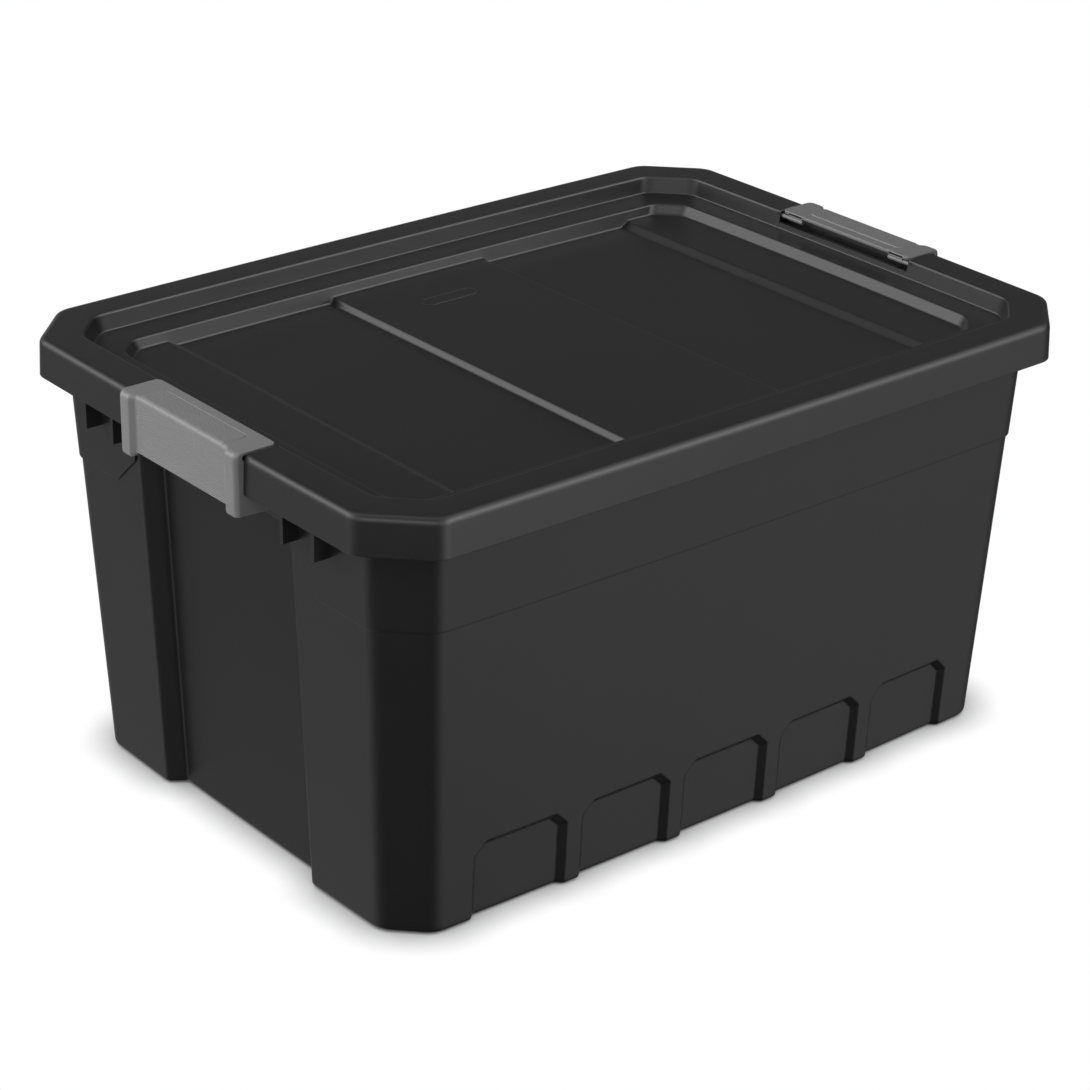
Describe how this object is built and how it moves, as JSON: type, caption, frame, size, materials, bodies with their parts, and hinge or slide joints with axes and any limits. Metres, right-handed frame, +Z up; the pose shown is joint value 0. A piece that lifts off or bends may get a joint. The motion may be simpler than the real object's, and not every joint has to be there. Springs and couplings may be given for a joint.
{
  "type": "stackable storage bin",
  "caption": "Tapered rectangular storage tub with a nesting lid and a swing latch on each short end.",
  "frame": {"origin": "middle of the footprint, on the plane the bin stands on", "axes": "+X along the long side, +Y across, +Z up"},
  "size_m": [0.686, 0.4852, 0.3473],
  "materials": {
    "black_polypropylene": "satin moulded polypropylene, black",
    "black_polypropylene_lid": "satin moulded polypropylene, black",
    "grey_polypropylene": "fine-textured moulded polypropylene, mid grey",
    "grey_polypropylene_far": "fine-textured moulded polypropylene, mid grey"
  },
  "bodies": {
    "tub": {"tub": "black_polypropylene"},
    "lid": {"lid": "black_polypropylene_lid"},
    "latch_left": {"latch_left": "grey_polypropylene"},
    "latch_right": {"latch_right": "grey_polypropylene_far"}
  },
  "joints": [
    {"name": "lid_lift", "type": "slide", "parent": "tub", "child": "lid", "axis": [0, 0, 1], "range_m": [0, 0.36]},
    {"name": "latch_left_swing", "type": "hinge", "parent": "lid", "child": "latch_left", "pos_m": [-0.309, 0, 0.3412], "axis": [0, 1, 0], "range_deg": [0, 110]},
    {"name": "latch_right_swing", "type": "hinge", "parent": "lid", "child": "latch_right", "pos_m": [0.309, 0, 0.3412], "axis": [0, -1, 0], "range_deg": [0, 110]}
  ]
}
